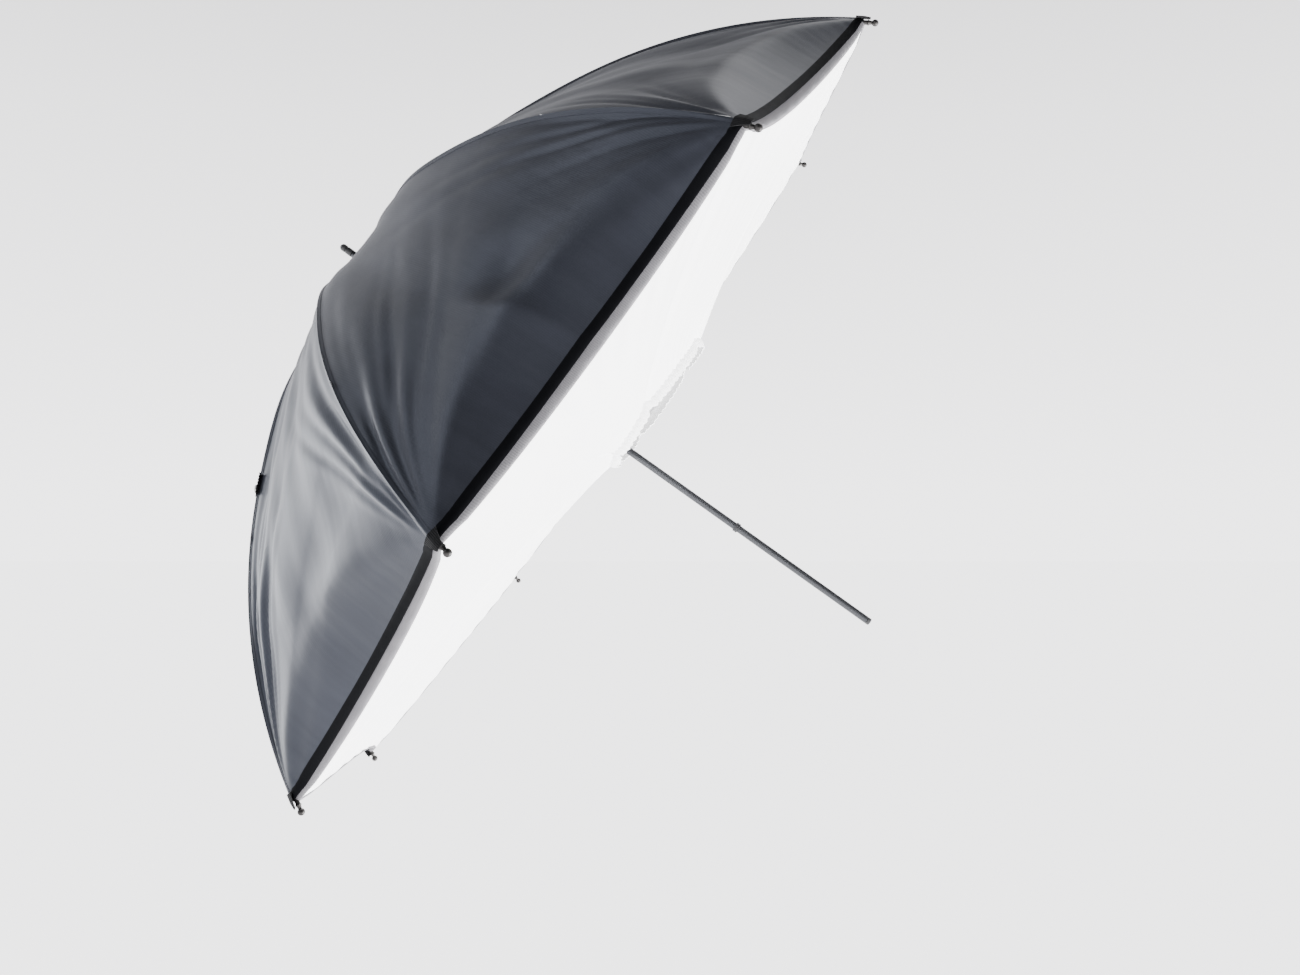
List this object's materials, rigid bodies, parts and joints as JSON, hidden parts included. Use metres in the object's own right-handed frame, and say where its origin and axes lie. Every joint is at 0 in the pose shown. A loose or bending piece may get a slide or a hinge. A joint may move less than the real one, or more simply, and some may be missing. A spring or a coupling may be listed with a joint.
{
  "type": "umbrella reflector",
  "caption": "Enclosed photographic umbrella: black reflecting canopy on a folding ribbed frame, white diffuser with an offset lamp opening, straight shaft.",
  "frame": {"origin": "centre of the shaft's handle-end face", "axes": "+Z along the shaft towards the crown; +X along the first rib, on the side where the diffuser opening is"},
  "size_m": [1.0124, 1.0124, 0.7171],
  "materials": {
    "shaft_steel": "satin dark grey tube",
    "frame_steel": "black lacquered rod",
    "bright_steel": "nickel plated",
    "black_plastic": "moulded nylon",
    "grey_plastic": "moulded",
    "canopy_cloth": "tightly woven black nylon with a soft sheen, white inside",
    "diffuser_cloth": "bright white translucent nylon",
    "webbing": "black tape"
  },
  "bodies": {
    "frame": {"shaft_tube": "shaft_steel", "shaft_end_cap": "black_plastic", "ferrule_plug": "black_plastic", "crown_notch": "black_plastic", "crown_wire": "bright_steel", "crown_cap": "black_plastic", "crown_collar": "bright_steel", "upper_stop": "bright_steel", "lower_stop": "bright_steel"},
    "runner": {"runner": "black_plastic"},
    "runner_button": {"runner_button": "grey_plastic"},
    "rib_1": {"rib_1": "frame_steel", "rib_tip_1": "bright_steel"},
    "stretcher_1": {"stretcher_1": "frame_steel"},
    "gore_1": {"canopy_1": "canopy_cloth"},
    "diffuser_1": {"diffuser_1": "diffuser_cloth"},
    "rib_2": {"rib_2": "frame_steel", "rib_tip_2": "bright_steel"},
    "stretcher_2": {"stretcher_2": "frame_steel"},
    "gore_2": {"canopy_2": "canopy_cloth"},
    "diffuser_2": {"diffuser_2": "diffuser_cloth"},
    "rib_3": {"rib_3": "frame_steel", "rib_tip_3": "bright_steel"},
    "stretcher_3": {"stretcher_3": "frame_steel"},
    "gore_3": {"canopy_3": "canopy_cloth"},
    "diffuser_3": {"diffuser_3": "diffuser_cloth"},
    "rib_4": {"rib_4": "frame_steel", "rib_tip_4": "bright_steel"},
    "stretcher_4": {"stretcher_4": "frame_steel"},
    "gore_4": {"canopy_4": "canopy_cloth"},
    "diffuser_4": {"diffuser_4": "diffuser_cloth"},
    "rib_5": {"rib_5": "frame_steel", "rib_tip_5": "bright_steel"},
    "stretcher_5": {"stretcher_5": "frame_steel"},
    "gore_5": {"canopy_5": "canopy_cloth"},
    "diffuser_5": {"diffuser_5": "diffuser_cloth"},
    "rib_6": {"rib_6": "frame_steel", "rib_tip_6": "bright_steel", "closing_strap": "webbing", "strap_stud": "bright_steel"},
    "stretcher_6": {"stretcher_6": "frame_steel"},
    "gore_6": {"canopy_6": "canopy_cloth"},
    "diffuser_6": {"diffuser_6": "diffuser_cloth"},
    "rib_7": {"rib_7": "frame_steel", "rib_tip_7": "bright_steel"},
    "stretcher_7": {"stretcher_7": "frame_steel"},
    "gore_7": {"canopy_7": "canopy_cloth"},
    "diffuser_7": {"diffuser_7": "diffuser_cloth"},
    "rib_8": {"rib_8": "frame_steel", "rib_tip_8": "bright_steel"},
    "stretcher_8": {"stretcher_8": "frame_steel"},
    "gore_8": {"canopy_8": "canopy_cloth"},
    "diffuser_8": {"diffuser_8": "diffuser_cloth"}
  },
  "joints": [
    {"name": "runner_slide", "type": "slide", "parent": "frame", "child": "runner", "axis": [0, 0, -1], "range_m": [0, 0.22442]},
    {"name": "button_press", "type": "slide", "parent": "runner", "child": "runner_button", "axis": [-0.9239, -0.3827, 0], "range_m": [0, 0.002], "stiffness_N_per_m": 500, "springref_m": -0.001},
    {"name": "rib_1_fold", "type": "hinge", "parent": "frame", "child": "rib_1", "pos_m": [0.012, 0, 0.6605], "axis": [0, 1, 0], "range_deg": [0, 55.03]},
    {"name": "stretcher_1_turn", "type": "hinge", "parent": "rib_1", "child": "stretcher_1", "pos_m": [0.20827, 0, 0.6199], "axis": [0, -1, 0], "range_deg": [0, 89.19]},
    {"name": "gore_1_fold", "type": "hinge", "parent": "frame", "child": "gore_1", "pos_m": [0.01024, 0.00424, 0.6605], "axis": [-0.3827, 0.9239, 0], "range_deg": [0, 55.03], "deforming": ["canopy_1"]},
    {"name": "diffuser_1_fold", "type": "hinge", "parent": "rib_1", "child": "diffuser_1", "pos_m": [0.49086, 0, 0.378], "axis": [0, 1, 0], "range_deg": [0, 35.02], "deforming": ["diffuser_1"]},
    {"name": "rib_2_fold", "type": "hinge", "parent": "frame", "child": "rib_2", "pos_m": [0.00848, 0.00848, 0.6605], "axis": [-0.7071, 0.7071, 0], "range_deg": [0, 55.03]},
    {"name": "stretcher_2_turn", "type": "hinge", "parent": "rib_2", "child": "stretcher_2", "pos_m": [0.14727, 0.14727, 0.6199], "axis": [0.7071, -0.7071, 0], "range_deg": [0, 89.19]},
    {"name": "gore_2_fold", "type": "hinge", "parent": "frame", "child": "gore_2", "pos_m": [0.00424, 0.01024, 0.6605], "axis": [-0.9239, 0.3827, 0], "range_deg": [0, 55.03], "deforming": ["canopy_2"]},
    {"name": "diffuser_2_fold", "type": "hinge", "parent": "rib_2", "child": "diffuser_2", "pos_m": [0.34709, 0.34709, 0.378], "axis": [-0.7071, 0.7071, 0], "range_deg": [0, 35.02], "deforming": ["diffuser_2"]},
    {"name": "rib_3_fold", "type": "hinge", "parent": "frame", "child": "rib_3", "pos_m": [0, 0.012, 0.6605], "axis": [-1, 0, 0], "range_deg": [0, 55.03]},
    {"name": "stretcher_3_turn", "type": "hinge", "parent": "rib_3", "child": "stretcher_3", "pos_m": [0, 0.20827, 0.6199], "axis": [1, 0, 0], "range_deg": [0, 89.19]},
    {"name": "gore_3_fold", "type": "hinge", "parent": "frame", "child": "gore_3", "pos_m": [-0.00424, 0.01024, 0.6605], "axis": [-0.9239, -0.3827, 0], "range_deg": [0, 55.03], "deforming": ["canopy_3"]},
    {"name": "diffuser_3_fold", "type": "hinge", "parent": "rib_3", "child": "diffuser_3", "pos_m": [0, 0.49086, 0.378], "axis": [-1, 0, 0], "range_deg": [0, 35.02], "deforming": ["diffuser_3"]},
    {"name": "rib_4_fold", "type": "hinge", "parent": "frame", "child": "rib_4", "pos_m": [-0.00848, 0.00848, 0.6605], "axis": [-0.7071, -0.7071, 0], "range_deg": [0, 55.03]},
    {"name": "stretcher_4_turn", "type": "hinge", "parent": "rib_4", "child": "stretcher_4", "pos_m": [-0.14727, 0.14727, 0.6199], "axis": [0.7071, 0.7071, 0], "range_deg": [0, 89.19]},
    {"name": "gore_4_fold", "type": "hinge", "parent": "frame", "child": "gore_4", "pos_m": [-0.01024, 0.00424, 0.6605], "axis": [-0.3827, -0.9239, 0], "range_deg": [0, 55.03], "deforming": ["canopy_4"]},
    {"name": "diffuser_4_fold", "type": "hinge", "parent": "rib_4", "child": "diffuser_4", "pos_m": [-0.34709, 0.34709, 0.378], "axis": [-0.7071, -0.7071, 0], "range_deg": [0, 35.02], "deforming": ["diffuser_4"]},
    {"name": "rib_5_fold", "type": "hinge", "parent": "frame", "child": "rib_5", "pos_m": [-0.012, 0, 0.6605], "axis": [0, -1, 0], "range_deg": [0, 55.03]},
    {"name": "stretcher_5_turn", "type": "hinge", "parent": "rib_5", "child": "stretcher_5", "pos_m": [-0.20827, 0, 0.6199], "axis": [0, 1, 0], "range_deg": [0, 89.19]},
    {"name": "gore_5_fold", "type": "hinge", "parent": "frame", "child": "gore_5", "pos_m": [-0.01024, -0.00424, 0.6605], "axis": [0.3827, -0.9239, 0], "range_deg": [0, 55.03], "deforming": ["canopy_5"]},
    {"name": "diffuser_5_fold", "type": "hinge", "parent": "rib_5", "child": "diffuser_5", "pos_m": [-0.49086, 0, 0.378], "axis": [0, -1, 0], "range_deg": [0, 35.02], "deforming": ["diffuser_5"]},
    {"name": "rib_6_fold", "type": "hinge", "parent": "frame", "child": "rib_6", "pos_m": [-0.00848, -0.00848, 0.6605], "axis": [0.7071, -0.7071, 0], "range_deg": [0, 55.03]},
    {"name": "stretcher_6_turn", "type": "hinge", "parent": "rib_6", "child": "stretcher_6", "pos_m": [-0.14727, -0.14727, 0.6199], "axis": [-0.7071, 0.7071, 0], "range_deg": [0, 89.19]},
    {"name": "gore_6_fold", "type": "hinge", "parent": "frame", "child": "gore_6", "pos_m": [-0.00424, -0.01024, 0.6605], "axis": [0.9239, -0.3827, 0], "range_deg": [0, 55.03], "deforming": ["canopy_6"]},
    {"name": "diffuser_6_fold", "type": "hinge", "parent": "rib_6", "child": "diffuser_6", "pos_m": [-0.34709, -0.34709, 0.378], "axis": [0.7071, -0.7071, 0], "range_deg": [0, 35.02], "deforming": ["diffuser_6"]},
    {"name": "rib_7_fold", "type": "hinge", "parent": "frame", "child": "rib_7", "pos_m": [0, -0.012, 0.6605], "axis": [1, 0, 0], "range_deg": [0, 55.03]},
    {"name": "stretcher_7_turn", "type": "hinge", "parent": "rib_7", "child": "stretcher_7", "pos_m": [0, -0.20827, 0.6199], "axis": [-1, 0, 0], "range_deg": [0, 89.19]},
    {"name": "gore_7_fold", "type": "hinge", "parent": "frame", "child": "gore_7", "pos_m": [0.00424, -0.01024, 0.6605], "axis": [0.9239, 0.3827, 0], "range_deg": [0, 55.03], "deforming": ["canopy_7"]},
    {"name": "diffuser_7_fold", "type": "hinge", "parent": "rib_7", "child": "diffuser_7", "pos_m": [0, -0.49086, 0.378], "axis": [1, 0, 0], "range_deg": [0, 35.02], "deforming": ["diffuser_7"]},
    {"name": "rib_8_fold", "type": "hinge", "parent": "frame", "child": "rib_8", "pos_m": [0.00848, -0.00848, 0.6605], "axis": [0.7071, 0.7071, 0], "range_deg": [0, 55.03]},
    {"name": "stretcher_8_turn", "type": "hinge", "parent": "rib_8", "child": "stretcher_8", "pos_m": [0.14727, -0.14727, 0.6199], "axis": [-0.7071, -0.7071, 0], "range_deg": [0, 89.19]},
    {"name": "gore_8_fold", "type": "hinge", "parent": "frame", "child": "gore_8", "pos_m": [0.01024, -0.00424, 0.6605], "axis": [0.3827, 0.9239, 0], "range_deg": [0, 55.03], "deforming": ["canopy_8"]},
    {"name": "diffuser_8_fold", "type": "hinge", "parent": "rib_8", "child": "diffuser_8", "pos_m": [0.34709, -0.34709, 0.378], "axis": [0.7071, 0.7071, 0], "range_deg": [0, 35.02], "deforming": ["diffuser_8"]}
  ],
  "couplings": [
    {"joint": "rib_1_fold", "follows": "runner_slide", "rad_per_m": 4.2772},
    {"joint": "stretcher_1_turn", "follows": "runner_slide", "rad_per_m": 6.9328},
    {"joint": "gore_1_fold", "follows": "runner_slide", "rad_per_m": 4.2772},
    {"joint": "diffuser_1_fold", "follows": "runner_slide", "rad_per_m": 2.7219},
    {"joint": "rib_2_fold", "follows": "runner_slide", "rad_per_m": 4.2772},
    {"joint": "stretcher_2_turn", "follows": "runner_slide", "rad_per_m": 6.9328},
    {"joint": "gore_2_fold", "follows": "runner_slide", "rad_per_m": 4.2772},
    {"joint": "diffuser_2_fold", "follows": "runner_slide", "rad_per_m": 2.7219},
    {"joint": "rib_3_fold", "follows": "runner_slide", "rad_per_m": 4.2772},
    {"joint": "stretcher_3_turn", "follows": "runner_slide", "rad_per_m": 6.9328},
    {"joint": "gore_3_fold", "follows": "runner_slide", "rad_per_m": 4.2772},
    {"joint": "diffuser_3_fold", "follows": "runner_slide", "rad_per_m": 2.7219},
    {"joint": "rib_4_fold", "follows": "runner_slide", "rad_per_m": 4.2772},
    {"joint": "stretcher_4_turn", "follows": "runner_slide", "rad_per_m": 6.9328},
    {"joint": "gore_4_fold", "follows": "runner_slide", "rad_per_m": 4.2772},
    {"joint": "diffuser_4_fold", "follows": "runner_slide", "rad_per_m": 2.7219},
    {"joint": "rib_5_fold", "follows": "runner_slide", "rad_per_m": 4.2772},
    {"joint": "stretcher_5_turn", "follows": "runner_slide", "rad_per_m": 6.9328},
    {"joint": "gore_5_fold", "follows": "runner_slide", "rad_per_m": 4.2772},
    {"joint": "diffuser_5_fold", "follows": "runner_slide", "rad_per_m": 2.7219},
    {"joint": "rib_6_fold", "follows": "runner_slide", "rad_per_m": 4.2772},
    {"joint": "stretcher_6_turn", "follows": "runner_slide", "rad_per_m": 6.9328},
    {"joint": "gore_6_fold", "follows": "runner_slide", "rad_per_m": 4.2772},
    {"joint": "diffuser_6_fold", "follows": "runner_slide", "rad_per_m": 2.7219},
    {"joint": "rib_7_fold", "follows": "runner_slide", "rad_per_m": 4.2772},
    {"joint": "stretcher_7_turn", "follows": "runner_slide", "rad_per_m": 6.9328},
    {"joint": "gore_7_fold", "follows": "runner_slide", "rad_per_m": 4.2772},
    {"joint": "diffuser_7_fold", "follows": "runner_slide", "rad_per_m": 2.7219},
    {"joint": "rib_8_fold", "follows": "runner_slide", "rad_per_m": 4.2772},
    {"joint": "stretcher_8_turn", "follows": "runner_slide", "rad_per_m": 6.9328},
    {"joint": "gore_8_fold", "follows": "runner_slide", "rad_per_m": 4.2772},
    {"joint": "diffuser_8_fold", "follows": "runner_slide", "rad_per_m": 2.7219}
  ]
}
